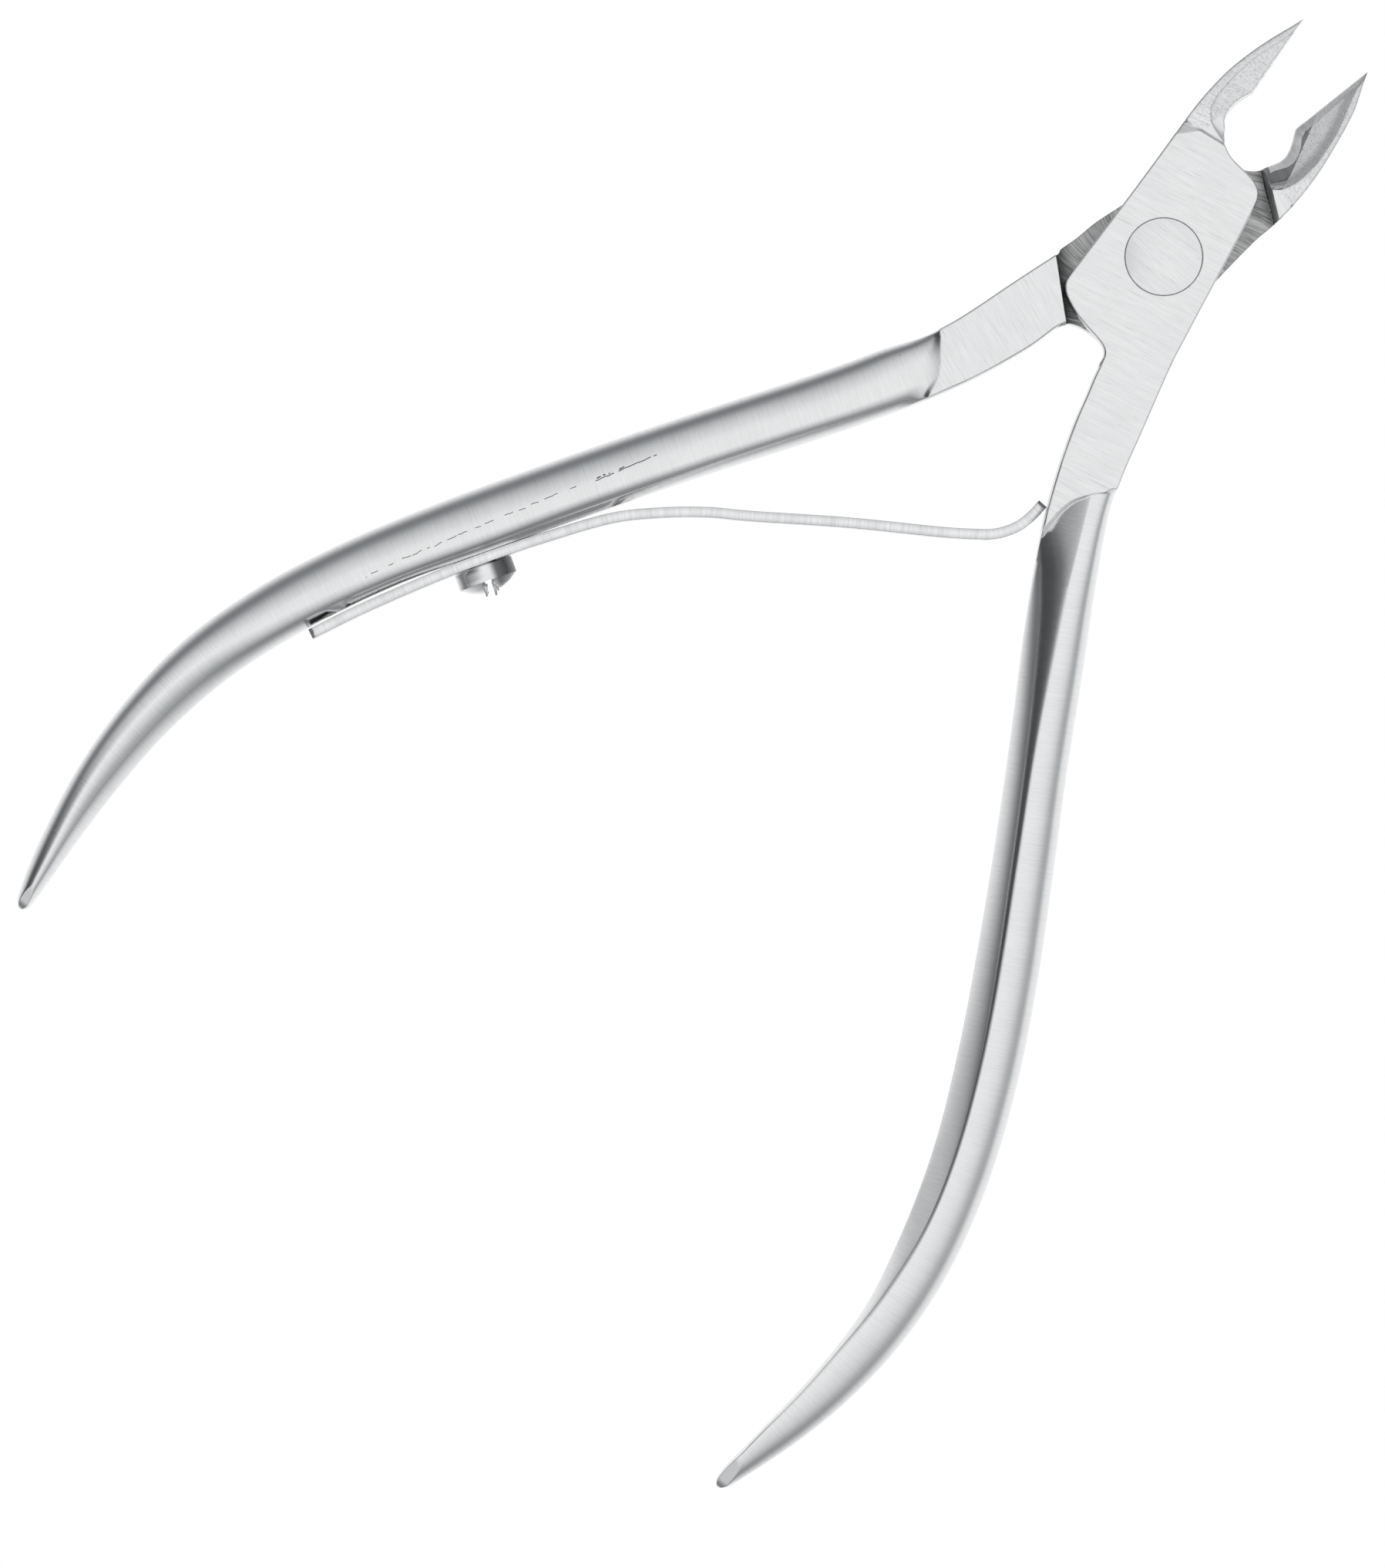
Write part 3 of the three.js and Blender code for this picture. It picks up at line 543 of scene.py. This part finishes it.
# ---- materials -------------------------------------------------------------------------
class Nodes:
    """Short calls for the nodes of a metal or of the room's light."""

    def __init__(self, tree):
        self.tree = tree

    def node(self, kind, inputs=(), **settings):
        """A node with its settings, and its inputs linked to sockets or set to values."""
        made = self.tree.nodes.new(kind)
        for name, value in settings.items():
            setattr(made, name, value)
        for socket, value in inputs:
            if hasattr(value, "node"):
                self.tree.links.new(value, made.inputs[socket])
            else:
                made.inputs[socket].default_value = value
        return made

    def math(self, operation, *values):
        return self.node("ShaderNodeMath", enumerate(values), operation=operation).outputs["Value"]

    def parts(self, vector):
        return self.node("ShaderNodeSeparateXYZ", [("Vector", vector)]).outputs

    def vector_math(self, operation, *values, out="Vector"):
        return self.node("ShaderNodeVectorMath", enumerate(values), operation=operation).outputs[out]

    def mix(self, factor, a, b):
        inputs = [("Factor", factor), ("A", a), ("B", b)]
        return self.node("ShaderNodeMix", inputs, data_type="RGBA").outputs["Result"]

    def share(self, value, start, stop, most=1.0):
        """How far a value is from start to stop, eased at both ends."""
        inputs = [("Value", value), ("From Min", start), ("From Max", stop), ("To Max", most)]
        return self.node("ShaderNodeMapRange", inputs, interpolation_type="SMOOTHSTEP").outputs["Result"]

    def ramp(self, factor, *stops):
        """Maps a factor through (position, grey or colour) stops."""
        made = self.node("ShaderNodeValToRGB", [("Fac", factor)])
        elements = made.color_ramp.elements
        while len(elements) < len(stops):
            elements.new(0.5)
        for element, (position, tone) in zip(elements, stops):
            element.position = position
            element.color = (*tone, 1) if isinstance(tone, tuple) else (tone, tone, tone, 1)
        return made.outputs["Color"]


class Paint(Nodes):
    """A metal's own material."""

    def __init__(self, name):
        self.material = bpy.data.materials.new(name)
        self.material.use_nodes = True
        super().__init__(self.material.node_tree)
        self.shader = self.tree.nodes["Principled BSDF"]
        self.shader.inputs["Metallic"].default_value = 1.0

    def grain(self):
        """Across, along and height on the piece, in millimetres: brushing follows it."""
        return self.node("ShaderNodeAttribute", attribute_name="grain").outputs["Vector"]

    def around_pivot(self, vector):
        """The same place as distance from the pivot and arc round it, for turned marks."""
        parts = self.parts(vector)
        turn = self.math("ARCTAN2", parts["Y"], parts["X"])
        away = self.vector_math("LENGTH", vector, out="Value")
        arc = self.math("MULTIPLY_ADD", turn, TURNED_RADIUS, away)
        return self.node("ShaderNodeCombineXYZ", [("X", away), ("Y", arc)]).outputs["Vector"]

    def stretched(self, vector, scale, turn=0.0):
        rotation = (0, 0, math.radians(turn))
        inputs = [("Vector", vector), ("Rotation", rotation), ("Scale", scale)]
        return self.node("ShaderNodeMapping", inputs).outputs["Vector"]

    def noise(self, vector, detail, rough, scale=1.0):
        inputs = [("Vector", vector), ("Scale", scale), ("Detail", detail), ("Roughness", rough)]
        return self.node("ShaderNodeTexNoise", inputs).outputs["Fac"]

    def bump(self, height, strength, distance):
        inputs = [("Height", height), ("Strength", strength), ("Distance", distance * MM)]
        return self.node("ShaderNodeBump", inputs).outputs["Normal"]

    def finish(self, colour, roughness, normal):
        for name, source in (("Base Color", colour), ("Roughness", roughness), ("Normal", normal)):
            self.tree.links.new(source, self.shader.inputs[name])
        return self.material


TURNED_RADIUS = 6.0       # radius that the turned marks on the lap faces are spaced for
DARK_SPOT = (0.3, 0.3, 0.31, 1)
# Painted shade: the near-black that the lap's corners are darkened to, where the gap lies in shade.
CORNER_SHADE_TONE = (0.02, 0.02, 0.022, 1)
# Painted shade: the dark that one side of the screw's head is painted.
SIDE_SHADE_TONE = (0.1, 0.1, 0.105, 1)
DARK_SCRATCH = (0.12, 0.12, 0.125, 1)
# Scratches on the back half's handle: place across at the start, how much they lean,
# start and stop along, half width, and how much of the line is missing.
SCRATCHES = [
    (0.04, 0.046, -39.6, -54.5, 0.024, 0.49),
    (-0.2, 0.08, -34.0, -38.3, 0.032, 0.45),
    (-0.12, 0.06, -36.2, -38.3, 0.045, 0.5),
]
SCRATCH_WANDER = 0.5


def brushed_steel(name, light, dark, rough, lines, depth=0.1, cut_tone=None, corner_shaded=False, fleck=0.0,
                  swirl=False, marks=None):
    """Steel with fine lines across the grain, soft blotches and a few deeper scratches."""
    paint = Paint(name)
    grain = paint.around_pivot(paint.grain()) if swirl else paint.grain()
    fine = paint.noise(paint.stretched(grain, (0.5, lines, 0.5)), 3.0, 0.7)
    broad = paint.noise(paint.stretched(grain, (0.22, lines * 0.3, 0.3)), 2.0, 0.5)
    cloud = paint.noise(grain, 3.0, 0.55, scale=0.5)
    tone = paint.mix(0.3, fine, broad)
    shade = paint.ramp(tone, (0.36, dark), (0.6, light))
    colour = paint.mix(0.2, shade, paint.ramp(cloud, (0.4, dark), (0.62, light)))
    height = fine
    if cut_tone is not None:
        deep = paint.noise(paint.stretched(grain, (0.45, lines * 1.3, 0.45), 4), 2.0, 0.5)
        line = paint.ramp(deep, (0.66, 0.0), (0.74, 1.0))
        colour = paint.mix(line, colour, (cut_tone, cut_tone, cut_tone, 1))
    if fleck:
        spots = paint.noise(paint.stretched(grain, (6, 9, 6)), 3.0, 0.7)
        colour = paint.mix(paint.ramp(spots, (0.5, 0.0), (0.62, fleck)), colour, DARK_SPOT)
        height = paint.mix(0.6, fine, spots)
    # Painted shade: the lap's corners and shoulder walls are darkened where the gap lies in shade.
    if corner_shaded:
        corner_shade = paint.node("ShaderNodeAttribute", attribute_name="painted_corner_shade").outputs["Fac"]
        colour = paint.mix(corner_shade, colour, CORNER_SHADE_TONE)
    if marks is not None:
        colour = marks(paint, colour)
    roughness = paint.ramp(tone, (0.36, rough[1]), (0.62, rough[0]))
    return paint.finish(colour, roughness, paint.bump(height, depth, 0.02))


def painted_dark_side(paint, colour):
    """One side of the screw's head is painted dark: painted shade in place of the dark reflection on
    that side.
    """
    side_shade = paint.share(paint.parts(paint.grain())["X"], 0.25, 0.8, most=0.9)
    return paint.mix(side_shade, colour, SIDE_SHADE_TONE)


def hairline(paint, colour):
    """A long broken scratch down the handle and a short cluster near its start."""
    wander = paint.noise(paint.stretched(paint.grain(), (0, 0.7, 0)), 4.0, 0.6)
    breaks = paint.noise(paint.stretched(paint.grain(), (0, 1.1, 0)), 2.0, 0.5)
    parts = paint.parts(paint.grain())
    for across, lean, start, stop, width, gap in SCRATCHES:
        middle = across + lean * start - SCRATCH_WANDER / 2
        leaning = paint.math("MULTIPLY_ADD", parts["Y"], -lean, middle)
        path = paint.math("MULTIPLY_ADD", wander, SCRATCH_WANDER, leaning)
        off = paint.math("ABSOLUTE", paint.math("SUBTRACT", parts["X"], path))
        tests = [
            ("LESS_THAN", off, width), ("LESS_THAN", parts["Y"], start),
            ("GREATER_THAN", parts["Y"], stop), ("GREATER_THAN", breaks, gap),
            ("GREATER_THAN", parts["Z"], MID),
        ]
        mask = 1.0
        for test in tests:
            mask = paint.math("MULTIPLY", mask, paint.math(*test))
        colour = paint.mix(mask, colour, DARK_SCRATCH)
    return colour


HANDLE_STEEL = brushed_steel("handle_steel", 0.94, 0.86, (0.15, 0.22), 18.0, depth=0.25)
SCRATCHED_HANDLE = brushed_steel("scratched_handle_steel", 0.94, 0.86, (0.15, 0.22), 18.0, depth=0.25,
                                 marks=hairline)
FLAT_STEEL = brushed_steel("flat_steel", 0.96, 0.87, (0.22, 0.32), 14.0, depth=0.25, cut_tone=0.62)
# The lap's steel is dark partly for its rougher turned finish and partly as painted shade for the deep
# gap it is seen through; its corners take more painted shade.
LAP_STEEL = brushed_steel("lap_steel", 0.62, 0.2, (0.3, 0.45), 7.0, depth=0.5, cut_tone=1.0, corner_shaded=True,
                          swirl=True)
BRIGHT_JAW = brushed_steel("bright_jaw_steel", 1.0, 0.93, (0.22, 0.3), 5.0)
# Painted shade and light: the back jaw's flatter ground faces take this darker copy, and its steeper
# ones the two lighter copies below, by tilt alone.
SHADED_JAW = brushed_steel("shaded_jaw_steel", 0.34, 0.26, (0.16, 0.24), 4.0, cut_tone=0.6)
THROAT_JAW = brushed_steel("throat_jaw_steel", 0.85, 0.62, (0.2, 0.3), 4.0, cut_tone=1.0)
EDGE_JAW = brushed_steel("edge_jaw_steel", 0.85, 0.66, (0.16, 0.24), 4.0, cut_tone=1.0)
RIM_STEEL = brushed_steel("rim_steel", 1.0, 0.92, (0.25, 0.4), 5.0, depth=0.2, fleck=0.35)
LEAF_STEEL = brushed_steel("leaf_steel", 1.0, 0.84, (0.2, 0.35), 9.0, depth=0.2)
# The screw's steel has one side of its head painted dark as painted shade.
SCREW_STEEL = brushed_steel("screw_steel", 0.95, 0.85, (0.1, 0.2), 3.0, marks=painted_dark_side)
RIVET_STEEL = brushed_steel("rivet_steel", 0.96, 0.87, (0.22, 0.32), 14.0, depth=0.25, cut_tone=0.62)


def store(obj, name, values):
    """Keeps a number or a vector on every point, for the materials."""
    kind, field = ("FLOAT", "value") if values.ndim == 1 else ("FLOAT_VECTOR", "vector")
    attribute = obj.data.attributes.new(name, kind, "POINT")
    attribute.data.foreach_set(field, values.astype(np.float32).ravel())


def read(items, field, wide=3, kind=np.float32):
    """One field of every item: a row each, or one number each where wide is 1."""
    flat = np.empty(len(items) * wide, kind)
    items.foreach_get(field, flat)
    return flat.reshape(-1, wide) if wide > 1 else flat


def points_of(obj):
    """Every point, in millimetres."""
    return read(obj.data.vertices, "co") / MM


def brushing(half, p):
    """Grain: across the lines, along them, and height; lines cross the handle squarely."""
    ys = np.arange(half["arm"][-1, 0], -7.9, 0.25)[::-1]
    middle = table_at(half["arm"], ys).mean(1)
    run = np.concatenate([[0], np.cumsum(np.hypot(np.diff(middle), np.diff(ys)))])
    slope = np.gradient(middle, ys)
    at_y = np.clip(-p[:, 1], -ys[0], -ys[-1])
    centre, lean = np.interp(at_y, -ys, middle), np.interp(at_y, -ys, slope)
    off = (p[:, 0] - centre) / np.hypot(1, lean)
    handle = np.stack([off, -8 - np.interp(at_y, -ys, run) + off * lean, p[:, 2]], 1)
    turn = math.radians(half["brush_turn"])
    c, s = math.cos(turn), math.sin(turn)
    flat = np.stack([p[:, 0] * c + p[:, 1] * s, p[:, 1] * c - p[:, 0] * s, p[:, 2]], 1)
    on_handle = (p[:, 1] < HANDLE_FROM)
    near = (p[:, 1] < NECK_TO) & ~on_handle
    on_handle[near] = outline_distance(neck_plan(half), p[near, 0], p[near, 1]) > 0.02
    return np.where(on_handle[:, None], handle, flat), on_handle


def painted_corner_shade(half, p):
    """How much painted shade darkens a lap face: most in the corners under the shoulders and on their
    walls, where the gap lies in shade.
    """
    to_arm, to_jaw = (-past for past in past_shoulders(half, p[:, 0], p[:, 1]))
    by_arm = np.clip(1 - to_arm / 1.5, 0, 1)**1.3
    by_jaw = 0.6 * np.clip(1 - to_jaw / 0.5, 0, 1)
    between = np.clip((MID + 2.6 - p[:, 2]) / 0.6, 0, 1) * np.clip((p[:, 2] - MID + 2.6) / 0.6, 0, 1)
    walls = (np.minimum(to_arm, to_jaw) < 0.2) & (np.maximum(-to_arm, -to_jaw) < 0.45)
    return np.where(walls, np.where(to_jaw < to_arm, 0.45, 0.9) * between, np.maximum(by_arm, by_jaw))


# Which of a half's materials a face takes; the jaw's three follow how steep the face is, and on the back
# half they are painted shade and light: darker and lighter copies of one steel picked by the face's
# tilt.
ON_HANDLE, ON_FLAT, ON_LAP, ON_RIM, ON_JAW = range(5)
JAW_STEEPNESS = (-0.76, -0.57)    # where they change: minus the normal's upward part


def finish_half(half, obj):
    """Grain and painted corner shade on the points, and a finish for each kind of face."""
    p = points_of(obj)
    grain, on_handle = brushing(half, p)
    store(obj, "grain", grain)
    # Painted shade for the lap's corners, kept on the points.
    store(obj, "painted_corner_shade", painted_corner_shade(half, p))
    polygons = obj.data.polygons
    x, y, z = (read(polygons, "center") / MM).T
    upward = np.abs(read(polygons, "normal")[:, 2])
    first = read(polygons, "loop_start", 1, np.int32)
    corner = read(obj.data.loops, "vertex_index", 1, np.int32)
    kind = np.where(on_handle[corner[first]], ON_HANDLE, ON_FLAT)
    level = np.abs(z - MID)
    flat = (upward > 0.97) & (level > MID - 0.5)
    ground = (y > 7.7) & ~flat
    kind[ground] = ON_JAW + np.digitize(-upward, JAW_STEEPNESS)[ground]
    # The rim's finish starts as far off the middle as the ridge's half height, so it also
    # takes in the outer part of the hollow, and near the tip all of it.
    ridge_up = table_at(half["jaw"], y)[:, 2]
    kind[(np.abs(x) > ridge_up) & (y > 7.9) & (upward > 0.2)] = ON_RIM
    beyond = np.maximum(*past_shoulders(half, x, y))
    sliding = (level < 0.12) & (upward > 0.8) & (beyond < 0.02)
    shoulder = (np.abs(beyond - 0.2) < 0.24) & (upward < 0.6) & (np.hypot(x, y) < 9.2)
    kind[sliding | shoulder] = ON_LAP
    polygons.foreach_set("material_index", kind)
    shade_by_area(obj)
    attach(obj, half["body"])
    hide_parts(half["node"])


for half in (FRONT, BACK):
    handle_steel = HANDLE_STEEL if half is FRONT else SCRATCHED_HANDLE
    # On the back half the jaw's tone is painted by the face's steepness: shaded and lit copies of one
    # steel.
    jaw_steels = [BRIGHT_JAW] * 3 if half is FRONT else [SHADED_JAW, THROAT_JAW, EDGE_JAW]
    finish_half(half, make_half(half, [handle_steel, FLAT_STEEL, LAP_STEEL, RIM_STEEL, *jaw_steels]))


# ---- rivet -----------------------------------------------------------------------------
def turned(name, profile, sides, materials):
    """Body turned round +Z through (radius, z) pairs; each end closes on the axis."""
    angle = np.linspace(0, 2 * math.pi, sides, endpoint=False)
    points = [(r * c, r * s, z) for r, z in profile for c, s in zip(np.cos(angle), np.sin(angle))]
    points += [(0, 0, profile[0][1]), (0, 0, profile[-1][1])]
    faces = tube_faces(len(profile), sides)
    top = (len(profile) - 1) * sides
    for i in range(sides):
        j = (i + 1) % sides
        faces.append([j, i, len(points) - 2])
        faces.append([top + i, top + j, len(points) - 1])
    return new_object(name, points, faces, materials)


def rivet():
    """The flush rivet: eased rims, countersunk ends and a waist between them."""
    lower = [(RIVET_RADIUS - 0.04, 0.0), (RIVET_RADIUS - 0.012, 0.01), (RIVET_RADIUS, 0.04)]
    lower += [(float(rivet_radius(np.float64(z), 0)), z) for z in (0.15, SINK_FROM)]
    profile = lower + [(r, THICK - z) for r, z in lower[::-1]]
    obj = turned("pivot_rivet_ground", profile, 128, [RIVET_STEEL])
    p = points_of(obj)
    store(obj, "grain", p)
    shade_by_area(obj)
    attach(obj, "back")
    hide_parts("pivot_rivet")


rivet()

# ---- leaf spring -----------------------------------------------------------------------
LEAF_LINE = [
    (-27.42, -53.88), (-25.73, -50.2), (-23.12, -45.2), (-20.93, -41.5), (-19.8, -39.7), (-17.2, -35.9),
    (-15, -33.6), (-12.5, -31.5), (-10, -29.8), (-5, -26.25), (0, -22.95), (1.95, -21.55),
    (2.8, -20.85), (3.35, -20.15), (3.78, -19.3), (4.0, -18.3), (4.06, -17.3),
]
LEAF_THICK = 0.66
LEAF_EDGE = 0.03                  # how far its sheared edges are eased
LEAF_STEP_AT = (-20.9, -41.5)     # where the wide seat narrows into the arm
LEAF_STEP_RUN = 0.9
LEAF_TIP_WIDTH = 3.0
LEAF_SEAT_EASE = 1.0      # how much less than its CAD block the seat's width is


def leaf_section(t, e):
    """Points round the leaf: across, which edge (-1 or +1), and its inset along the width."""
    section = []
    for sx, sy in ((1, -1), (1, 1), (-1, 1), (-1, -1)):
        face, edge = (sx * t, sy, sy * -e), (sx * (t - e), sy, 0)
        section += [face, edge] if sx * sy > 0 else [edge, face]
    return section


def leaf_spring():
    """One strip: a wide seat that narrows into a tapering arm with a turned-up tip."""
    line = np.vstack([smooth_run(LEAF_LINE, 0.3), LEAF_LINE[-1:]])
    run = np.concatenate([[0], np.cumsum(np.linalg.norm(np.diff(line, axis=0), axis=1))])
    step_at = run[np.argmin(np.linalg.norm(line - LEAF_STEP_AT, axis=1))]
    heading = np.gradient(line, run, axis=0)
    heading /= np.linalg.norm(heading, axis=1)[:, None]
    side = np.stack([heading[:, 1], -heading[:, 0]], 1)
    narrow = np.clip((run - step_at) / LEAF_STEP_RUN, 0, 1)
    narrow = narrow * narrow * (3 - 2 * narrow)
    along_arm = np.clip((run - step_at) / (run[-1] - step_at), 0, 1)
    taper = ARM_WIDTH + (LEAF_TIP_WIDTH - ARM_WIDTH) * along_arm
    width = (SEAT_WIDTH - LEAF_SEAT_EASE) * (1 - narrow) + taper * narrow
    section = leaf_section(LEAF_THICK / 2, LEAF_EDGE)
    points = []
    for (x, y), (nx, ny), w in zip(line, side, width):
        for a, sy, inset in section:
            points.append((x + a * nx, y + a * ny, MID + sy * w / 2 + inset))
    n = len(section)
    faces = tube_faces(len(line), n)
    faces += [list(range(n))[::-1], [len(points) - n + i for i in range(n)]]
    obj = new_object("leaf_spring", points, faces, [LEAF_STEEL])
    bm = bmesh.new()
    bm.from_mesh(obj.data)
    bmesh.ops.recalc_face_normals(bm, faces=bm.faces)
    bm.to_mesh(obj.data)
    bm.free()
    along = np.repeat(run, n)
    p = points_of(obj)
    across = np.tile([a for a, _, _ in section], len(line))
    store(obj, "grain", np.stack([across, along, p[:, 2]], 1))
    shade_by_area(obj)
    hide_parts("spring_root", "spring_arm")
    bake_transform(obj)


leaf_spring()

# ---- screw -----------------------------------------------------------------------------
SCREW_SEAT = (-22.25, -43.0)      # where its axis meets the handle
SCREW_AXIS = (0.8605, -0.5093)    # which way it stands off the handle
SCREW_SHANK = 1.0
SCREW_LIFT = 0.73                 # from the handle to the underside of the head
SCREW_HEAD = 1.95                 # radius of the head
SCREW_HEIGHT = 1.15               # height of its side
SCREW_DOME = 0.6                  # and of its dome
SLOT_HALF, SLOT_DEEP = 0.225, 0.75
# Torn metal along the slot: place on the head's end, lean of the tip, reach, width.
BURRS = [
    (-0.32, 1.15, -0.1, 0.25, 0.28, 0.17),
    (-0.3, 0.7, 0.02, 0.2, 0.12, 0.13),
    (0.33, 1.0, -0.15, 0.3, 0.4, 0.19),
    (0.36, 0.5, 0.05, 0.1, 0.15, 0.14),
    (0.3, 1.35, 0.1, 0.15, -0.05, 0.15),
]


def add_burr(obj, base, tip, width):
    """Joins one small torn lump, wide at the base and ragged at the tip."""
    bm = bmesh.new()
    for centre, radius, count, turn in ((base, width, 7, 0.0), (tip, width * 0.3, 4, 0.5)):
        for i in range(count):
            a = turn + 2 * math.pi * i / count
            uneven = radius * (1 + 0.35 * math.sin(5 * i + 40 * base[1]))
            bm.verts.new((centre[0] + uneven * math.cos(a), centre[1] + uneven * math.sin(a),
                          centre[2] + 0.3 * radius * math.sin(3 * a)))
    bmesh.ops.scale(bm, vec=(MM, MM, MM), verts=bm.verts)
    bmesh.ops.convex_hull(bm, input=bm.verts)
    lump = new_object("burr", [], [], [])
    bm.to_mesh(lump.data)
    bm.free()
    union = obj.modifiers.new("burr", "BOOLEAN")
    union.operation = "UNION"
    union.object = lump
    union.solver = "EXACT"
    apply_modifiers(obj)
    bpy.data.objects.remove(lump)


def screw():
    """The slotted screw, turned upright, cut, torn, and then set into the handle."""
    top = SCREW_LIFT + SCREW_HEIGHT + SCREW_DOME
    profile = [(SCREW_SHANK, 0.02), (SCREW_SHANK, SCREW_LIFT)]
    profile += [(SCREW_HEAD - 0.08, SCREW_LIFT), (SCREW_HEAD, SCREW_LIFT + 0.08)]
    profile += [(SCREW_HEAD, SCREW_LIFT + SCREW_HEIGHT * f) for f in (0.35, 0.7, 0.95)]
    profile += [(SCREW_HEAD - 0.12, top - SCREW_DOME), (SCREW_HEAD - 0.6, top - 0.45 * SCREW_DOME),
                (SCREW_HEAD - 1.05, top - 0.08), (SCREW_HEAD - 1.3, top)]
    obj = turned("spring_screw_turned", profile, 96, [SCREW_STEEL])
    slot_plan = [(-SLOT_HALF, -3), (SLOT_HALF, -3), (SLOT_HALF, 3), (-SLOT_HALF, 3)]
    corners = [(x, y, z) for z in (top - SLOT_DEEP, top + 1) for x, y in slot_plan]
    sides = [[i, (i + 1) % 4, (i + 1) % 4 + 4, i + 4] for i in range(4)]
    cutter = new_object("slot_cutter", corners, [[3, 2, 1, 0], [4, 5, 6, 7], *sides], [])
    cut = obj.modifiers.new("slot", "BOOLEAN")
    cut.object = cutter
    cut.solver = "EXACT"
    ease = obj.modifiers.new("ease", "BEVEL")
    ease.width = 0.04 * MM
    ease.segments = 2
    ease.limit_method = "ANGLE"
    ease.angle_limit = 0.7
    apply_modifiers(obj)
    bpy.data.objects.remove(cutter)
    for x, y, lean_x, lean_y, reach, width in BURRS:
        add_burr(obj, (x, y, top - 0.5), (x + lean_x, y + lean_y, top + reach), width)
    p = points_of(obj)
    ax, ay = SCREW_AXIS
    store(obj, "grain", p)
    placed = np.stack([
        SCREW_SEAT[0] + p[:, 2] * ax - p[:, 0] * ay,
        SCREW_SEAT[1] + p[:, 2] * ay + p[:, 0] * ax,
        MID + p[:, 1],
    ], 1) * MM
    obj.data.vertices.foreach_set("co", placed.astype(np.float32).ravel())
    obj.data.update()
    shade_by_area(obj)
    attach(obj, "back")
    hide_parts("spring_screw")


screw()

# ---- floor, light and camera -----------------------------------------------------------
COOLNESS = 0.05           # how blue the dim parts of the room are
DIM_SIDE = 215            # direction that the dimmest part of the room lies in
# What a level mirror tilted by so many degrees shows of the room, on three sides of it.
LIGHT_SIDE = [(0, 0.88), (12, 0.84), (20, 0.77), (28, 0.65), (35, 0.50), (42, 0.42), (47, 0.42),
              (52, 0.58), (57, 0.77), (63, 0.84), (78, 0.9), (90, 0.95)]
MIDDLE = [(0, 0.88), (7, 0.87), (15, 0.74), (25, 0.60), (32, 0.48), (40, 0.31), (46, 0.22), (52, 0.20),
          (58, 0.27), (65, 0.48), (74, 0.76), (90, 0.95)]
DIM = [(0, 0.88), (8, 0.70), (14, 0.40), (22, 0.14), (30, 0.07), (42, 0.055), (48, 0.10), (54, 0.24),
       (60, 0.46), (66, 0.68), (76, 0.84), (90, 0.93)]
FLOOR_SIZE = 1.6          # metres, as the next four are
FLOOR_AT = (-0.002, -0.03, -0.0002)
CAMERA_OVER = (-0.00207, -0.04576)
CAMERA_HEIGHT = 1.0
VIEW_LEVEL = 0.005        # height where the frame's width is measured
VIEW_WIDTH = 89.85        # millimetres across the frame at the nipper
SENSOR = 36
VIEW_ROLL = 39.2          # degrees from +X to the frame's right-hand side


def studio():
    """The plain white floor, which doesn't show in the steel, and the light round it."""
    bpy.ops.mesh.primitive_plane_add(size=FLOOR_SIZE, location=FLOOR_AT)
    floor = bpy.context.object
    floor.name = "floor"
    paint = Paint("floor_white")
    settings = {
        "Metallic": 0.0, "Base Color": (0, 0, 0, 1), "Specular IOR Level": 0.0, "Roughness": 1.0,
        "Emission Color": (1, 1, 1, 1), "Emission Strength": 1.0,
    }
    for name, value in settings.items():
        paint.shader.inputs[name].default_value = value
    floor.data.materials.append(paint.material)
    floor.visible_glossy = False
    studio_light()


def studio_light():
    """A soft light all round: bright above and below, dim in a band near the horizon."""
    world = bpy.data.worlds.new("studio")
    bpy.context.scene.world = world
    world.use_nodes = True
    light = Nodes(world.node_tree)
    way = light.node("ShaderNodeTexCoord").outputs["Generated"]
    inputs = [("Value", light.parts(way)["Z"]), ("From Min", -1.0)]
    level = light.node("ShaderNodeMapRange", inputs).outputs["Result"]
    round_way = light.vector_math("NORMALIZE", light.vector_math("MULTIPLY", way, (1, 1, 0)))
    turn = math.radians(DIM_SIDE)
    dim_way = (math.cos(turn), math.sin(turn), 0)
    side = light.vector_math("DOT_PRODUCT", round_way, dim_way, out="Value")
    bands = []
    for levels in (LIGHT_SIDE, MIDDLE, DIM):
        stops = []
        for tilt, value in levels:
            cool = COOLNESS * (1 - value)
            colour = (value * (1 - cool), value, value * (1 + cool))
            stops.append(((math.cos(math.radians(2 * tilt)) + 1) / 2, colour))
        bands.append(light.ramp(level, *sorted(stops)))
    room = light.mix(light.share(side, -1.0, -0.3), bands[0], bands[1])
    room = light.mix(light.share(side, 0.87, 0.995), room, bands[2])
    seen = light.node("ShaderNodeLightPath").outputs["Is Camera Ray"]
    backdrop = light.mix(seen, room, (1, 1, 1, 1))
    light.tree.links.new(backdrop, light.tree.nodes["Background"].inputs["Color"])


def camera():
    """Straight above, at the photograph's framing and turn."""
    data = bpy.data.cameras.new("camera")
    data.sensor_fit = "HORIZONTAL"
    data.sensor_width = SENSOR
    data.lens = SENSOR * (CAMERA_HEIGHT - VIEW_LEVEL) / (VIEW_WIDTH * MM)
    data.clip_start, data.clip_end = 0.05, 10
    obj = bpy.data.objects.new("camera", data)
    bpy.context.scene.collection.objects.link(obj)
    obj.location = (*CAMERA_OVER, CAMERA_HEIGHT)
    obj.rotation_euler = (0, 0, math.radians(VIEW_ROLL))
    bpy.context.scene.camera = obj
    bpy.context.scene.view_settings.view_transform = "Standard"


studio()
camera()
